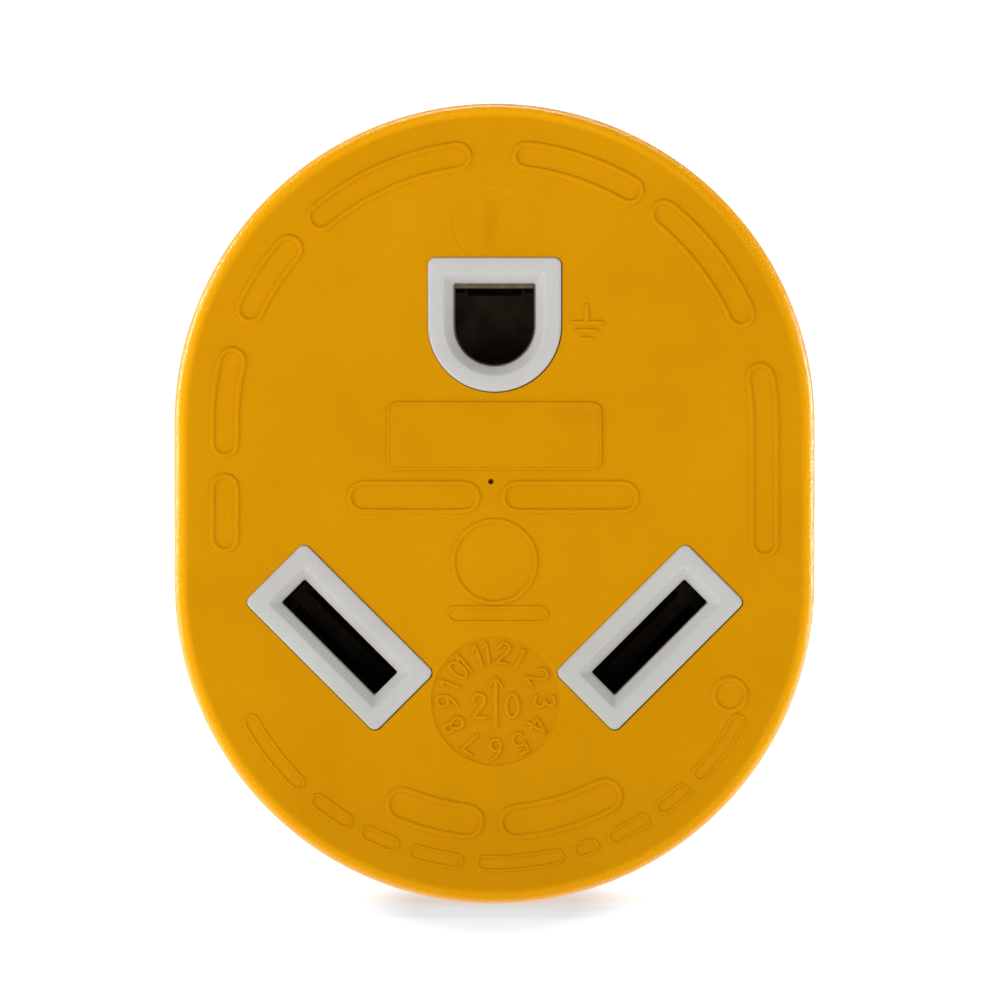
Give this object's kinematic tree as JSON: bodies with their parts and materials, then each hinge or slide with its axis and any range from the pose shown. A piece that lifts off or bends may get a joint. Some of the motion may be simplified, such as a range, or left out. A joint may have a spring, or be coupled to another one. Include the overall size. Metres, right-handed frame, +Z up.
{
  "type": "power adapter dogbone socket head",
  "caption": "Moulded oval socket head of a dogbone power adapter, with two angled blade slots, a flat-topped ground socket, sprung contacts inside and a round cord inlet behind.",
  "frame": {"origin": "centre of the mating face", "axes": "+Z up with the ground socket at the top, -Y out of the mating face, +Y towards the cord, +X to the right seen from the front"},
  "size_m": [0.052, 0.076, 0.065],
  "materials": {
    "body_yellow": "moulded vinyl, satin with a fine grain",
    "shell_ivory": "moulded light grey thermoplastic, satin",
    "bridge_ivory": "moulded light grey thermoplastic, matte",
    "contact_brass": "stamped strip, satin",
    "leaf_brass": "stamped spring strip, satin and slightly tarnished",
    "spring_steel": "blued spring strip, satin",
    "sleeve_grey": "shrunk sleeve, matte",
    "wire_black": "extruded vinyl, satin",
    "wire_white": "extruded vinyl, satin",
    "wire_green": "extruded vinyl, satin",
    "wire_copper": "bare stranded copper"
  },
  "bodies": {
    "head": {"overmold_body": "body_yellow", "hot_shell": "shell_ivory", "neutral_shell": "shell_ivory", "ground_shell": "shell_ivory", "rear_bridge": "bridge_ivory", "hot_contact": "contact_brass", "neutral_contact": "contact_brass", "ground_contact": "contact_brass", "hot_crimp_sleeve": "sleeve_grey", "neutral_crimp_sleeve": "sleeve_grey", "ground_crimp_sleeve": "sleeve_grey", "hot_insulation": "wire_black", "neutral_insulation": "wire_white", "ground_insulation": "wire_green", "hot_strands": "wire_copper", "neutral_strands": "wire_copper", "ground_strands": "wire_copper"},
    "hot_inner_spring": {"hot_inner_leaf": "leaf_brass", "hot_inner_backing": "spring_steel"},
    "hot_outer_spring": {"hot_outer_leaf": "leaf_brass", "hot_outer_backing": "spring_steel"},
    "neutral_inner_spring": {"neutral_inner_leaf": "leaf_brass", "neutral_inner_backing": "spring_steel"},
    "neutral_outer_spring": {"neutral_outer_leaf": "leaf_brass", "neutral_outer_backing": "spring_steel"},
    "ground_spring": {"ground_tongue": "leaf_brass", "ground_backing": "spring_steel"}
  },
  "joints": [
    {"name": "hot_inner_flex", "type": "hinge", "parent": "head", "child": "hot_inner_spring", "pos_m": [-0.01126, 0.019, -0.00951], "axis": [-0.7071, 0, 0.7071], "range_deg": [0, 2.5], "stiffness_Nm_per_rad": 1},
    {"name": "hot_outer_flex", "type": "hinge", "parent": "head", "child": "hot_outer_spring", "pos_m": [-0.01394, 0.019, -0.01219], "axis": [0.7071, 0, -0.7071], "range_deg": [0, 2.5], "stiffness_Nm_per_rad": 1},
    {"name": "neutral_inner_flex", "type": "hinge", "parent": "head", "child": "neutral_inner_spring", "pos_m": [0.01126, 0.019, -0.00951], "axis": [-0.7071, 0, -0.7071], "range_deg": [0, 2.5], "stiffness_Nm_per_rad": 1},
    {"name": "neutral_outer_flex", "type": "hinge", "parent": "head", "child": "neutral_outer_spring", "pos_m": [0.01394, 0.019, -0.01219], "axis": [0.7071, 0, 0.7071], "range_deg": [0, 2.5], "stiffness_Nm_per_rad": 1},
    {"name": "ground_tongue_flex", "type": "hinge", "parent": "head", "child": "ground_spring", "pos_m": [0, 0.0175, 0.01782], "axis": [-1, 0, 0], "range_deg": [0, 4], "stiffness_Nm_per_rad": 0.3}
  ],
  "couplings": [
    {"joint": "hot_outer_flex", "follows": "hot_inner_flex", "ratio": 1},
    {"joint": "neutral_outer_flex", "follows": "neutral_inner_flex", "ratio": 1}
  ]
}
